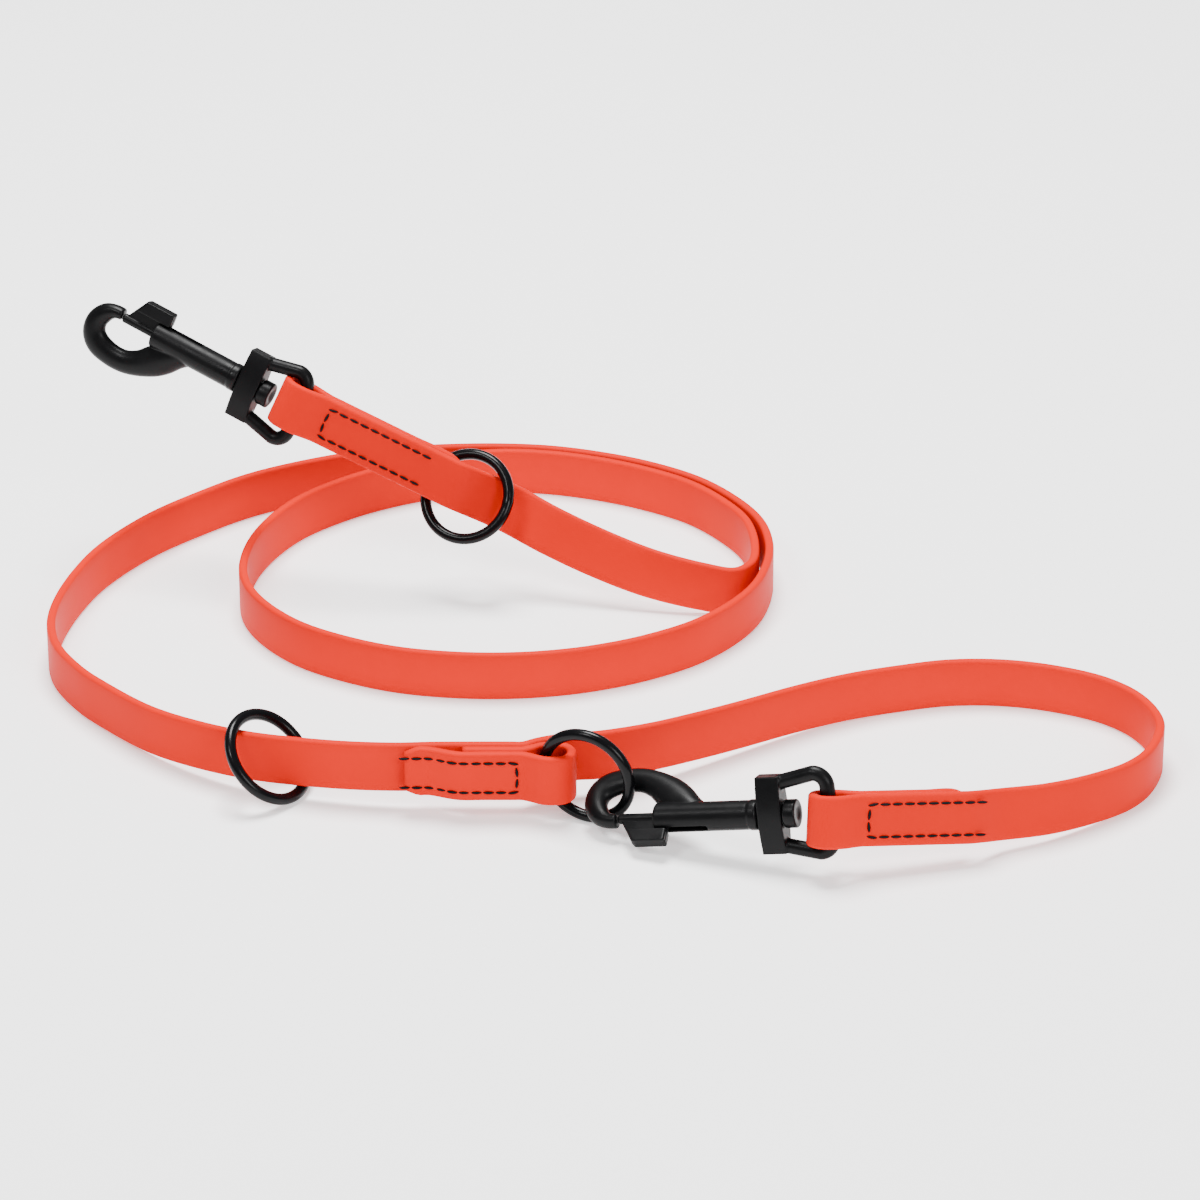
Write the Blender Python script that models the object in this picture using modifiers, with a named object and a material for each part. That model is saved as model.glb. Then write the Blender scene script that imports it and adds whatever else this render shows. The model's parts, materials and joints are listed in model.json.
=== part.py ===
"""Training leash: a flat strap with a swivel snap hook at each end and three round rings.

The leash lies on its edge in two flat coils on the ground. One hook is clipped back to the ring
that is sewn to the strap, which makes the hand loop. Metres, +Z up.
"""
import math

import bmesh
import bpy
import numpy as np
from mathutils import Matrix, Vector

MM = 0.001
UP = Vector((0, 0, 1))

# Strap
STRAP_WIDTH = 20 * MM
STRAP_THICKNESS = 3.6 * MM
STRAP_EDGE = 0.7 * MM
LAYER_GAP = 0.35 * MM
LAYERS_APART = STRAP_THICKNESS + LAYER_GAP
TIP_TAPER = 0.78
TIP_LENGTH = 5 * MM
MAX_TURN = math.radians(8)
MAX_STEP = 14 * MM

# Folds and seams, measured along the doubled strap from the outer edge of its fold
SEAM_START = 22.5 * MM
SEAM_LENGTH = 43.5 * MM
SEAM_ROWS_APART = 12.4 * MM
THREAD = 0.7 * MM
FREE_TAIL = 81 * MM
HANDLE_TAIL = 62 * MM
TAB_FRONT_LEG = 65 * MM
TAB_BACK_LEG = 43 * MM
EYE_LOOP_GAP = 0.9 * MM
RING_LOOP_GAP = 2.0 * MM

# Rings
RING_OUTER = 40 * MM
RING_WIRE = 4.5 * MM

# Snap hook, along its own axis from the middle of the eye's bar to the nose
CLEARANCE = 0.3 * MM
EYE_WIRE = 4.6 * MM
EYE_BAR_WIDTH = 36 * MM
EYE_CORNER = 5.2 * MM
EYE_PLATE_WIDTH = 29.5 * MM
EYE_PLATE_FROM = 17.6 * MM
EYE_PLATE_TO = 27 * MM
EYE_PLATE_DEPTH = 6.5 * MM
EYE_BOSS = 10.4 * MM
STUD_HEAD = 10.8 * MM
STUD_HEAD_LENGTH = 4.8 * MM
STUD_NECK = 6.5 * MM
STUD_GRIP = 6 * MM
COLLAR = 11.7 * MM
COLLAR_LENGTH = 3.6 * MM
GROOVE = 9.8 * MM
BARREL = 11.2 * MM
BARREL_MOUTH = 68.3 * MM
BORE = 6.6 * MM
BORE_END = 35.4 * MM
PISTON_FROM = BORE_END + 22.9 * MM
SLOT_WIDTH = 2.6 * MM
SLOT_LENGTH = 21 * MM
ROD = 4 * MM
ROD_TIP = 83.3 * MM
PISTON_LENGTH = 8 * MM
BOLT_TRAVEL = 14 * MM
FIN_HEIGHT = 11.4 * MM
FIN_SLANT = 6.6 * MM
FIN_PAD_DEPTH = 5 * MM
SPRING_WIRE = 0.7 * MM
SPRING_TURNS = 6

# The middle of the laid-out leash, seen from above, from the point that its route is drawn from
MIDDLE = Vector((-2.03, -62.63, -0.03)) * MM


def unit(vector):
    return Vector(vector).normalized()


def place(x, y, z):
    """A point of the layout, given in millimetres, in the part's frame."""
    return Vector((x, y, z)) * MM - MIDDLE


def frame(origin, x_axis, y_hint):
    """A frame at origin with its X along x_axis and its Y as near y_hint as that allows."""
    x = unit(x_axis)
    y = unit(Vector(y_hint) - Vector(y_hint).project(x))
    return Matrix.Translation(origin) @ Matrix((x, y, x.cross(y))).transposed().to_4x4()


# Doubled ends: a frame at the fold's outer edge, X towards the tail and Y across the strap
FREE_END = frame(place(-131.7, 24.3, 80.6), (0.897, -0.196, -0.3945), (0.41, 0.115, 0.9035))
HANDLE_END = frame(place(76.5, -228.8, 23.5), (0.968, 0.22, -0.095), (0.0, 0.25, 0.97))
STRAP_BEHIND_TAB = place(-8.8, -175.675, 17.5)
TAB = frame(STRAP_BEHIND_TAB - Vector((0, 1.5 * LAYERS_APART, 0)), (-1, 0, 0), (0, 0, 1))

# Hooks: bar centre, direction to the nose, direction of the bar and of the thumb fin
FREE_BAR = FREE_END @ Vector((10 * MM, -1.6 * MM, 0))
FREE_AXIS = unit((-0.862, 0.3825, 0.330))
FREE_BAR_DIRECTION = FREE_END.to_3x3() @ Vector((0, 1, 0))
FREE_FIN = (0.384, 0.076, 0.918)
HANDLE_BAR = place(84.8, -226.3, 25.4)
HANDLE_AXIS = unit((-0.9327, 0.2995, -0.2006))
HANDLE_BAR_DIRECTION = (-0.11, 0.263, 0.957)
HANDLE_FIN = (-0.17, -0.875, -0.475)

# Rings: centre and the direction that each one's hole faces
COIL_RING_AT = place(-54.2, 9.4, 42.5)
COIL_RING_FACES = (-0.28, -0.751, 0.598)
FRONT_RING_AT = place(-126, -164.7, 15.6)
FRONT_RING_FACES = (0.62, -0.39, 0.68)
TAB_RING_HINGE = TAB @ Vector((12.4 * MM, 0, 0.8 * MM))
TAB_RING_FACES = Vector((-0.417, -0.906, -0.067))
TAB_RING_LIFT = 2.48 * MM

# The strap's middle line between its two doubled ends: x, y, height of its middle and how far
# its top leans away from the front, in millimetres and degrees
ROUTE = [
    (-37.8, 13, 35.7, 18), (-20, 6, 28.5, 24), (0, 0, 21, 24), (20, -6.4, 15.5, 17),
    (41, -11.5, 12, 8), (54, -12, 10.2, 2), (61.5, -4, 10, 0), (63.6, 12, 10, 0),
    (60.6, 36, 10, 0), (52.5, 53, 10, 0), (38, 72, 10, 0), (18, 86.5, 10, 0),
    (-2, 96, 10, 0), (-22.5, 102, 10, 0), (-43, 103.6, 10, 0), (-64, 99, 10, 0),
    (-86, 90, 10, 0), (-107, 76, 10, 0), (-127, 55, 10, 0), (-141, 25, 10, 0),
    (-145.3, -4.6, 10, 0), (-142.5, -24, 10, 0), (-134, -42, 10, 0), (-119, -60, 10, 0),
    (-98, -74, 10, 0), (-79, -82, 10, 0), (-59, -86, 10, 0), (-40, -87, 10, 0),
    (-20, -85, 10, 0), (-1, -80, 10, 0), (19, -71, 10, 0), (39, -57, 10, 0),
    (55, -38, 10, 0), (64, -20, 10, 0), (69.2, 5, 10, 0), (68.8, 23, 10, 0),
    (65.6, 38, 10, 0), (57.5, 55, 10, 0), (42, 75.5, 10, 0), (20.5, 91.3, 10, 0),
    (-1, 101.2, 10, 0), (-22, 107.2, 10, 0), (-43, 109.2, 10, 0), (-64, 108.6, 10, 0),
    (-85, 106, 10, 0), (-106, 100.5, 10, 0), (-126, 92, 10, 0), (-148, 79, 10, 0),
    (-168, 61, 10, 0), (-187, 40, 10, 0), (-204, 12, 10, 0), (-212, -10, 10, 0),
    (-217.6, -36, 10, 0), (-218.6, -58, 10, 0), (-214.5, -78, 10, 0), (-204, -98, 10, 0),
    (-193, -113, 10.6, 0), (-173, -136, 12, 0), (-153, -152, 13.8, 0), (-133, -163, 15.1, 0),
    (-114, -169, 15.8, 0), (-95, -173.2, 16.4, 0), (-76, -175.4, 17, 0), (-64, -175.5, 17.4, 0),
    (-46, -175.5, 17.5, 0), (-34, -175.5, 17.5, 0), (-29.5, -175.4, 17.4, 0), (-24, -172.2, 17.3, 0),
    (-18, -169.6, 17.2, 0), (-10, -167, 17, 0),
    (-1, -165, 16.5, 0), (18, -157, 15.5, 0), (37, -145, 14, 0), (53, -134, 12.8, 0),
    (77, -117.5, 11.5, 0), (97, -106, 10.6, 0), (117, -98, 10, 0), (137, -93, 10, 0),
    (158, -93, 10, 0), (178, -98, 10, 0), (197, -108, 10, 0), (209, -122, 10, 0),
    (214.8, -143, 10, 0), (209, -165, 10, 0), (200, -178, 10.3, 2), (186, -190, 11.5, 5),
    (168, -201, 13, 9), (150, -208.5, 14.8, 12),
]


def smooth_curve(points, samples=12):
    """Points on a smooth curve through the given ones, whose first three numbers are a place."""
    points = [np.asarray(p, float) for p in points]
    points = [2 * points[0] - points[1]] + points + [2 * points[-1] - points[-2]]
    curve = []
    for a, b, c, d in zip(points, points[1:], points[2:], points[3:]):
        before, here, after = (math.sqrt(np.linalg.norm((q - p)[:3])) for p, q in ((a, b), (b, c), (c, d)))
        leave = here * ((b - a) / before - (c - a) / (before + here)) + (c - b)
        arrive = here * ((d - c) / after - (d - b) / (here + after)) + (c - b)
        for t in np.arange(samples) / samples:
            curve.append((2 * t**3 - 3 * t**2 + 1) * b + (t**3 - 2 * t**2 + t) * leave
                         + (3 * t**2 - 2 * t**3) * c + (t**3 - t**2) * arrive)
    return curve + [points[-2]]


def thin_out(curve):
    """The curve's points, fewer where it runs straight."""
    kept = [curve[0]]
    last_way = Vector((curve[1] - curve[0])[:3])
    for point, following in zip(curve[1:], curve[2:]):
        way = Vector((following - point)[:3])
        if way.angle(last_way) > MAX_TURN or np.linalg.norm((point - kept[-1])[:3]) > MAX_STEP:
            kept.append(point)
            last_way = way
    return kept + [curve[-1]]


def station(point, across):
    return np.array([*point, *across])


def upright(along, lean):
    """The strap's width direction on a run along the ground, leaning lean degrees away."""
    along = unit(along)
    width = unit(UP - UP.project(along))
    side = along.cross(width)
    away = side if side.y > 0 else -side
    return width * math.cos(math.radians(lean)) + away * math.sin(math.radians(lean))


def route_stations():
    """The strap between its doubled ends, as places with the width direction there."""
    places = [place(*row[:3]) for row in ROUTE]
    around = [FREE_END @ Vector((FREE_TAIL, 0, 0))] + places + [HANDLE_END @ Vector((HANDLE_TAIL, 0, 0))]
    return [station(here, upright(after - before, row[3]))
            for before, here, after, row in zip(around, around[1:], around[2:], ROUTE)]


def doubled(end, loop, front, back, front_side=1):
    """Both layers of a doubled end, front tip to back tip, round a loop of the given radius.

    front and back are the layers' lengths; front_side is -1 where the frame's Z points back.
    """
    nose = STRAP_THICKNESS / 2
    spread = LAYERS_APART / 2
    flat = SEAM_START - 2 * MM
    half = [(front, spread), (front - 3 * MM, spread), (front * 0.6 + flat * 0.4, spread),
            (flat + 3 * MM, spread), (flat, spread), (flat * 0.8, spread + (loop - spread) * 0.45),
            (flat * 0.6, spread + (loop - spread) * 0.93), (nose + loop, loop)]
    turn = [(nose + loop - loop * math.sin(a), loop * math.cos(a))
            for a in (math.pi * i / 6 for i in range(1, 6))]
    other = [(x, -y) for x, y in half[:2:-1]] + [(back * 0.6 + flat * 0.4, -spread), (back, -spread)]
    across = end.to_3x3() @ Vector((0, 1, 0))
    return [station(end @ Vector((x, 0, front_side * y)), across) for x, y in half + turn + other]


def tapered(stations):
    """The same stations with the last one, a strap's tip, narrowed and one more just before it."""
    tip, before = stations[-1], stations[-2]
    share = TIP_LENGTH / np.linalg.norm((tip - before)[:3])
    shoulder = tip + (before - tip) * share
    narrow = tip.copy()
    narrow[3:] *= TIP_TAPER
    return stations[:-1] + [shoulder, narrow]


def collection(name):
    made = bpy.data.collections.new(name)
    bpy.context.scene.collection.children.link(made)
    return made


def material(name, colour, roughness, metallic=0.0):
    made = bpy.data.materials.new(name)
    made.use_nodes = True
    shader = made.node_tree.nodes["Principled BSDF"]
    shader.inputs["Base Color"].default_value = (*colour, 1)
    shader.inputs["Roughness"].default_value = roughness
    shader.inputs["Metallic"].default_value = metallic
    return made


def node(name, mesh, look, at=Matrix()):
    made = bpy.data.objects.new(name, mesh)
    made.matrix_world = at
    if not mesh.materials:
        mesh.materials.append(look)
    PARTS.objects.link(made)
    return made


def evaluated(made, weld=True):
    """The object's mesh as its modifiers leave it; the object goes."""
    bpy.context.view_layer.update()
    graph = bpy.context.evaluated_depsgraph_get()
    mesh = bpy.data.meshes.new_from_object(made.evaluated_get(graph))
    work = bmesh.new()
    work.from_mesh(mesh)
    if weld:
        bmesh.ops.remove_doubles(work, verts=work.verts, dist=0.01 * MM)
    bmesh.ops.recalc_face_normals(work, faces=work.faces)
    work.to_mesh(mesh)
    work.free()
    mesh.shade_smooth()
    mesh.set_sharp_from_angle(angle=math.radians(40))
    bpy.data.objects.remove(made)
    return mesh


def scratch(name, data):
    made = bpy.data.objects.new(name, data)
    bpy.context.scene.collection.objects.link(made)
    return made


def ribbon(name, stations, look):
    """A strap through the stations: an open band, thickened, with its edges taken off."""
    work = bmesh.new()
    rows = []
    for row in thin_out(smooth_curve(stations)):
        middle, across = Vector(row[:3]), Vector(row[3:])
        across = across * STRAP_WIDTH / 2
        rows.append([work.verts.new(middle - across), work.verts.new(middle + across)])
    for (a, b), (c, d) in zip(rows, rows[1:]):
        work.faces.new((a, c, d, b))
    mesh = bpy.data.meshes.new(name)
    work.to_mesh(mesh)
    work.free()
    mesh.shade_smooth()
    made = node(name, mesh, look)
    thick = made.modifiers.new("thickness", "SOLIDIFY")
    thick.thickness = STRAP_THICKNESS
    thick.offset = 0
    thick.use_even_offset = True
    edge = made.modifiers.new("edges", "BEVEL")
    edge.width = STRAP_EDGE
    edge.segments = 1
    edge.angle_limit = math.radians(60)
    return made


def wire(name, points, diameter, look, resolution=1):
    """A round wire through the points, as a closed mesh."""
    curve = bpy.data.curves.new(name, "CURVE")
    curve.dimensions = "3D"
    curve.bevel_depth = diameter / 2
    curve.bevel_resolution = resolution
    curve.use_fill_caps = True
    spline = curve.splines.new("POLY")
    spline.points.add(len(points) - 1)
    for slot, point in zip(spline.points, points):
        slot.co = (*point, 1)
    return evaluated(scratch(name, curve))


def slab(name, outline, half_depth):
    """A flat outline in XY, half_depth to each side of the plane, as a closed mesh."""
    curve = bpy.data.curves.new(name, "CURVE")
    curve.dimensions = "2D"
    curve.fill_mode = "BOTH"
    curve.extrude = half_depth
    spline = curve.splines.new("POLY")
    spline.points.add(len(outline) - 1)
    for slot, (x, y) in zip(spline.points, outline):
        slot.co = (x, y, 0, 1)
    spline.use_cyclic_u = True
    return evaluated(scratch(name, curve))


def turned(name, profile, steps=24):
    """A solid turned about X from (x, radius) points."""
    mesh = bpy.data.meshes.new(name)
    points = [(x, r, 0) for x, r in profile]
    mesh.from_pydata(points, [(i, i + 1) for i in range(len(points) - 1)], [])
    made = scratch(name, mesh)
    turn = made.modifiers.new("turn", "SCREW")
    turn.axis = "X"
    turn.steps = turn.render_steps = steps
    turn.use_merge_vertices = True
    turn.merge_threshold = 0.01 * MM
    return evaluated(made)


def combined(name, base, changes):
    """base with each (operation, mesh) of changes applied to it."""
    made = scratch(name, base)
    tools = []
    for number, (operation, mesh) in enumerate(changes):
        tool = scratch(f"{name}_tool_{number}", mesh)
        tool.hide_render = True
        tool.display_type = "WIRE"
        tools.append(tool)
        cut = made.modifiers.new(operation.lower(), "BOOLEAN")
        cut.operation = operation
        cut.solver = "EXACT"
        cut.object = tool
    mesh = evaluated(made)
    for tool in tools:
        bpy.data.objects.remove(tool)
    return mesh


def block(name, low, high):
    bpy.ops.mesh.primitive_cube_add(size=1)
    made = bpy.context.active_object
    made.name = name
    for corner in made.data.vertices:
        corner.co = [a + (b - a) * (c + 0.5) for a, b, c in zip(low, high, corner.co)]
    return made


def softened(made, width, segments=1):
    edge = made.modifiers.new("edges", "BEVEL")
    edge.width = width
    edge.segments = segments
    return evaluated(made)


def eye_mesh():
    """The swivel eye: a round bar with its two arms and the plate that the stud turns in."""
    far = EYE_BAR_WIDTH / 2 - EYE_WIRE / 2
    near = EYE_PLATE_WIDTH / 2 - EYE_WIRE / 2 + 0.6 * MM
    corner = [(EYE_CORNER * (1 - math.cos(a)), far - EYE_CORNER * (1 - math.sin(a)))
              for a in (math.pi / 2 * i / 4 for i in range(4, -1, -1))]
    side = [(EYE_PLATE_FROM + 2 * MM, near)] + [(x, y) for x, y in corner]
    path = [(x, y, 0) for x, y in side] + [(x, -y, 0) for x, y in side[::-1]]
    half = EYE_PLATE_WIDTH / 2
    plate = softened(block("plate", (EYE_PLATE_FROM, -half, -EYE_PLATE_DEPTH / 2),
                           (EYE_PLATE_TO, half, EYE_PLATE_DEPTH / 2)), 0.8 * MM)
    boss = turned("boss", [(EYE_PLATE_FROM, 0), (EYE_PLATE_FROM, EYE_BOSS / 2),
                           (EYE_PLATE_TO, EYE_BOSS / 2), (EYE_PLATE_TO, 0)])
    hole_from = EYE_PLATE_FROM - 1 * MM
    hole = turned("hole", [(hole_from, 0), (hole_from, STUD_NECK / 2 + CLEARANCE),
                           (EYE_PLATE_TO + 1 * MM, STUD_NECK / 2 + CLEARANCE), (EYE_PLATE_TO + 1 * MM, 0)])
    return combined("swivel_eye", plate, [("UNION", boss), ("UNION", wire("bow", path, EYE_WIRE, None, 2)),
                                          ("DIFFERENCE", hole)])


def stud_mesh():
    """The swivel stud: a mushroom head inside the eye and a neck fixed in the hook."""
    head_to = EYE_PLATE_FROM - 0.4 * MM
    head_from = head_to - STUD_HEAD_LENGTH
    end = EYE_PLATE_TO + STUD_GRIP
    rim = 0.7 * MM
    return turned("swivel_stud", [
        (head_from + 0.5 * MM, 0), (head_from + 0.5 * MM, STUD_HEAD * 0.22), (head_from, STUD_HEAD * 0.3),
        (head_from, STUD_HEAD / 2 - rim), (head_from + rim, STUD_HEAD / 2),
        (head_to - rim, STUD_HEAD / 2), (head_to, STUD_HEAD / 2 - rim),
        (head_to, STUD_NECK / 2), (end, STUD_NECK / 2), (end, 0)])


def bowl_mesh():
    """The hook's round bowl, from its cut nose to inside the barrel: a loft of oval sections."""
    middle = [(83.6, 1.0, 2.55, 3.2), (87.3, 0.6, 2.9, 3.3), (90.9, -1.6, 3.9, 3.5),
              (93.6, -6.5, 4.5, 3.6), (93.0, -11.6, 5.0, 3.6), (89.6, -15.2, 5.3, 3.6),
              (82.6, -17.2, 5.0, 3.6), (75.9, -17.0, 5.0, 3.7), (69.8, -14.6, 5.6, 3.9),
              (64.7, -11, 6.6, 4.2), (60.2, -7.4, 6.6, 4.5), (55, -3.6, 5.3, 4.6), (50, -1.2, 4.0, 4.0)]
    rows = [np.array([x, y, 0, half, depth]) * MM for x, y, half, depth in middle]
    curve = smooth_curve(rows, 2)
    work = bmesh.new()
    rings = []
    for before, here, after in zip([curve[0]] + curve, curve, curve[1:] + [curve[-1]]):
        way = unit((after - before)[:3])
        if here is curve[0]:
            way = Vector((1, 0, 0))
        side = Vector((-way.y, way.x, 0))
        rings.append([work.verts.new(Vector(here[:3]) + side * here[3] * math.cos(a)
                                     + UP * here[4] * math.sin(a))
                      for a in (math.tau * i / 14 for i in range(14))])
    for ring, following in zip(rings, rings[1:]):
        for i in range(14):
            work.faces.new((ring[i - 1], ring[i], following[i], following[i - 1]))
    work.faces.new(rings[0])
    work.faces.new(rings[-1])
    bmesh.ops.recalc_face_normals(work, faces=work.faces)
    mesh = bpy.data.meshes.new("bowl")
    work.to_mesh(mesh)
    work.free()
    return mesh


def hook_mesh():
    """The hook's body: collar, barrel and bowl, bored for the bolt and slotted for its fin."""
    start = EYE_PLATE_TO + CLEARANCE
    collar_to = start + COLLAR_LENGTH
    barrel = turned("barrel", [
        (start, 0), (start, GROOVE / 2), (start + 0.5 * MM, COLLAR / 2), (collar_to, COLLAR / 2),
        (collar_to + 0.4 * MM, BARREL / 2), (BARREL_MOUTH - 0.5 * MM, BARREL / 2),
        (BARREL_MOUTH, BARREL / 2 - 0.5 * MM), (BARREL_MOUTH, 0)])
    beyond = BARREL_MOUTH + 6 * MM
    bore = turned("bore", [(BORE_END, 0), (BORE_END, BORE / 2), (beyond, BORE / 2), (beyond, 0)])
    socket_end = EYE_PLATE_TO + STUD_GRIP + CLEARANCE
    socket = turned("socket", [(0, 0), (0, STUD_NECK / 2 + CLEARANCE),
                               (socket_end, STUD_NECK / 2 + CLEARANCE), (socket_end, 0)])
    half = SLOT_WIDTH / 2
    slot = evaluated(block("slot", (BARREL_MOUTH - SLOT_LENGTH, 0, -half), (beyond, BARREL, half)))
    return combined("hook_body", barrel, [("UNION", bowl_mesh()), ("DIFFERENCE", bore),
                                          ("DIFFERENCE", socket), ("DIFFERENCE", slot)])


def bolt_mesh():
    """The spring bolt: a rod that closes the hook, its piston in the bore and the thumb fin."""
    fin_from = BARREL_MOUTH - SLOT_LENGTH + BOLT_TRAVEL + 1.3 * MM
    piston_from = PISTON_FROM
    piston_to = piston_from + PISTON_LENGTH
    piston = BORE / 2 - CLEARANCE
    rod = turned("rod", [(piston_from, 0), (piston_from, piston), (piston_to, piston),
                         (piston_to + 0.6 * MM, ROD / 2), (ROD_TIP - 0.4 * MM, ROD / 2),
                         (ROD_TIP, ROD / 2 - 0.4 * MM), (ROD_TIP, 0)], 16)
    lead = ROD_TIP - 0.8 * MM
    fin_to = lead - FIN_SLANT
    above = BARREL / 2 + CLEARANCE
    pad_lead = lead - FIN_SLANT * above / FIN_HEIGHT
    fin = slab("fin", [(fin_from, 0.5 * MM), (lead, 0.5 * MM), (fin_to, FIN_HEIGHT), (fin_from, FIN_HEIGHT)],
               SLOT_WIDTH / 2 - CLEARANCE)
    pad = slab("pad", [(fin_from + 0.2 * MM, above), (pad_lead, above),
                       (fin_to - 0.2 * MM, FIN_HEIGHT + 0.1 * MM),
                       (fin_from + 0.2 * MM, FIN_HEIGHT + 0.1 * MM)], FIN_PAD_DEPTH / 2)
    return combined("latch_bolt", rod, [("UNION", fin), ("UNION", pad)])


def spring_mesh():
    """The bolt's spring, a helix between the bore's end and the piston."""
    low = BORE_END + CLEARANCE + SPRING_WIRE / 2
    high = PISTON_FROM - CLEARANCE - SPRING_WIRE / 2
    radius = BORE / 2 - CLEARANCE - 0.3 * MM - SPRING_WIRE / 2
    turn_points = 10
    count = SPRING_TURNS * turn_points
    points = [(low + (high - low) * i / count, radius * math.cos(math.tau * i / turn_points),
               radius * math.sin(math.tau * i / turn_points)) for i in range(count + 1)]
    return wire("latch_spring", points, SPRING_WIRE, None)


def hook(prefix, bar, axis, bar_direction, fin):
    """One snap hook: its eye in the strap's fold and the hook turning in the eye."""
    eye_at = frame(bar, axis, bar_direction)
    hook_at = frame(bar, eye_at.to_3x3() @ Vector((1, 0, 0)), fin)
    node(f"{prefix}_hook_eye", HOOK_MESHES["eye"], BLACK, eye_at)
    node(f"{prefix}_hook_stud", HOOK_MESHES["stud"], BLACK, hook_at)
    node(f"{prefix}_hook_body", HOOK_MESHES["body"], BLACK, hook_at)
    node(f"{prefix}_hook_bolt", HOOK_MESHES["bolt"], BLACK, hook_at)
    node(f"{prefix}_hook_spring", HOOK_MESHES["spring"], STEEL, hook_at)


def ring(name, middle, faces):
    """A welded ring whose hole faces the given direction."""
    turn = unit(faces).to_track_quat("Z", "Y").to_matrix().to_4x4()
    bpy.ops.mesh.primitive_torus_add(major_segments=36, minor_segments=10,
                                     major_radius=(RING_OUTER - RING_WIRE) / 2, minor_radius=RING_WIRE / 2)
    made = bpy.context.active_object
    made.name = name
    made.matrix_world = Matrix.Translation(middle) @ turn
    made.data.shade_smooth()
    made.data.materials.append(BLACK)
    for owner in list(made.users_collection):
        owner.objects.unlink(made)
    PARTS.objects.link(made)
    return made


def seam(name, end, height, length):
    """One side of a seam: a U of thread, its closed side by the fold, on the strap's face.

    height gives the thread's distance from the doubled strap's middle plane at a distance along it.
    """
    row = SEAM_ROWS_APART / 2
    corner = 1.5 * MM
    reach = [SEAM_START + length * i / 14 for i in range(15)]
    reach[0] += corner
    leg = [(x, row) for x in reach[::-1]]
    bend = [(SEAM_START + corner * 0.3, row - corner * 0.3), (SEAM_START, row - corner)]
    side = leg + bend
    path = side + [(x, -y) for x, y in side[::-1]]
    places = [end @ Vector((x, y, height(x))) for x, y in path]
    node(name, wire(name, places, THREAD, THREAD_LOOK), THREAD_LOOK)


def step_between(x, low_x, high_x, low, high):
    share = min(max((x - low_x) / (high_x - low_x), 0), 1)
    return low + (high - low) * (3 * share**2 - 2 * share**3)


def build_strap():
    loop = EYE_WIRE / 2 + STRAP_THICKNESS / 2 + EYE_LOOP_GAP
    free = doubled(FREE_END, loop, FREE_TAIL, FREE_TAIL)
    handle = doubled(HANDLE_END, loop, HANDLE_TAIL, HANDLE_TAIL)
    stations = tapered(free)[::-1] + route_stations() + tapered(handle)
    return ribbon("main_strap", stations, ORANGE)


def build_tab():
    """The short strap folded round the tab ring and sewn to the front of the main strap."""
    spread = LAYERS_APART / 2
    loop = RING_WIRE / 2 + STRAP_THICKNESS / 2 + RING_LOOP_GAP
    legs = doubled(TAB, loop, TAB_FRONT_LEG, TAB_BACK_LEG, -1)
    front = [station(TAB @ Vector((x, 0, z)), TAB.to_3x3() @ Vector((0, 1, 0)))
             for x, z in ((TAB_FRONT_LEG, spread), (TAB_FRONT_LEG - 9 * MM, spread),
                          (TAB_BACK_LEG + 1.5 * MM, -spread), (TAB_BACK_LEG - 8 * MM, -spread))]
    stations = tapered(front[::-1])[::-1] + legs[3:]
    return ribbon("ring_tab", stations, ORANGE)


def build_seams():
    face = LAYERS_APART / 2 + STRAP_THICKNESS / 2 + THREAD / 2 + CLEARANCE
    layer = LAYERS_APART
    seam("free_end_seam_front", FREE_END, lambda x: face, SEAM_LENGTH)
    seam("free_end_seam_back", FREE_END, lambda x: -face, SEAM_LENGTH)
    seam("handle_end_seam_front", HANDLE_END, lambda x: face, SEAM_LENGTH)
    seam("handle_end_seam_back", HANDLE_END, lambda x: -face, HANDLE_TAIL - SEAM_START - TIP_LENGTH)
    tab_reach = TAB_FRONT_LEG - SEAM_START - TIP_LENGTH
    step_from, step_to = TAB_BACK_LEG + 2 * MM, TAB_FRONT_LEG - 7 * MM
    seam("ring_tab_seam_front", TAB,
         lambda x: step_between(x, step_from, step_to, -face, layer - face), tab_reach)
    seam("ring_tab_seam_back", TAB, lambda x: layer + face, tab_reach)


def build_rings():
    ring("coil_ring", COIL_RING_AT, COIL_RING_FACES)
    ring("front_ring", FRONT_RING_AT, FRONT_RING_FACES)
    outwards = TAB_RING_FACES.cross(UP).normalized()
    outwards = outwards if outwards.x > 0 else -outwards
    middle = TAB_RING_HINGE + outwards * (RING_OUTER - RING_WIRE) / 2 + UP * TAB_RING_LIFT
    hinge = bpy.data.objects.new("tab_ring_hinge", None)
    hinge.location = TAB_RING_HINGE
    PARTS.objects.link(hinge)
    made = ring("tab_ring", middle, TAB_RING_FACES)
    bpy.context.view_layer.update()
    made.parent = hinge
    made.matrix_parent_inverse = hinge.matrix_world.inverted()


for old in list(bpy.data.objects):
    bpy.data.objects.remove(old)
PARTS = collection("training_leash")
ORANGE = material("orange_strap", (0.83, 0.105, 0.055), 0.42)
BLACK = material("black_hardware", (0.012, 0.012, 0.014), 0.38, 0.6)
STEEL = material("spring_steel", (0.55, 0.55, 0.57), 0.3, 1.0)
THREAD_LOOK = material("black_thread", (0.01, 0.01, 0.012), 0.7)

build_strap()
build_tab()
build_seams()
build_rings()
HOOK_MESHES = {"eye": eye_mesh(), "stud": stud_mesh(), "body": hook_mesh(), "bolt": bolt_mesh(),
               "spring": spring_mesh()}
hook("free", FREE_BAR, FREE_AXIS, FREE_BAR_DIRECTION, FREE_FIN)
hook("handle", HANDLE_BAR, HANDLE_AXIS, HANDLE_BAR_DIRECTION, HANDLE_FIN)
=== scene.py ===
"""Looks of the training leash: strap, stitching, rings, snap hooks, floor, light and camera.

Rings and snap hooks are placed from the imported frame's solids and joints. The strap, its tab and
their seams follow the route that the CAD solid has, repeated here point by point.
"""
import json
import math

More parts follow.
